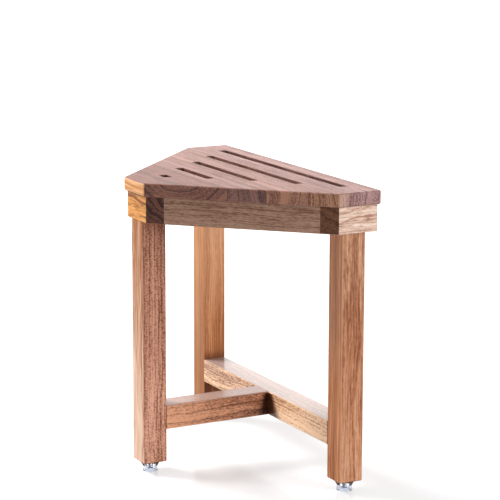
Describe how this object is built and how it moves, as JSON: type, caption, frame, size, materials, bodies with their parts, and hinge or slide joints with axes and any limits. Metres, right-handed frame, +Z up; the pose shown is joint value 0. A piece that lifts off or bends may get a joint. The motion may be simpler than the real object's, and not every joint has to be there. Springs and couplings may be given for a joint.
{
  "type": "corner foot stool",
  "caption": "Triangular wooden corner foot stool for a shower, with a slotted top on square legs, a low T-shaped rail and clear bumper feet.",
  "frame": {"origin": "on the floor under the middle of the top's bounding box", "axes": "+Z up; -Y towards the bather, square to the long edge of the top; +Y towards the corner leg; X along the long edge"},
  "size_m": [0.418, 0.241, 0.386],
  "materials": {
    "top_wood": "oiled, satin",
    "end_board_wood": "oiled, satin",
    "apron_wood": "oiled, satin",
    "leg_wood": "oiled, satin",
    "rail_wood": "oiled, satin",
    "dowel_wood": "plain",
    "clear_plastic": "clear, gloss",
    "steel": "bright"
  },
  "bodies": {
    "root": {"top_stave_1": "top_wood", "top_stave_2": "top_wood", "top_stave_3": "top_wood", "top_stave_4": "top_wood", "top_stave_5": "top_wood", "right_board": "end_board_wood", "left_board": "end_board_wood", "corner_board": "end_board_wood", "front_apron": "apron_wood", "right_apron": "apron_wood", "left_apron": "apron_wood", "right_leg": "leg_wood", "left_leg": "leg_wood", "corner_leg": "leg_wood", "cross_rail": "rail_wood", "tee_rail": "rail_wood", "rail_dowels": "dowel_wood", "frame_dowels": "dowel_wood", "right_foot": "clear_plastic", "left_foot": "clear_plastic", "corner_foot": "clear_plastic", "foot_screws": "steel", "foot_washers": "steel", "leg_screws": "steel", "top_screws": "steel"}
  },
  "joints": []
}
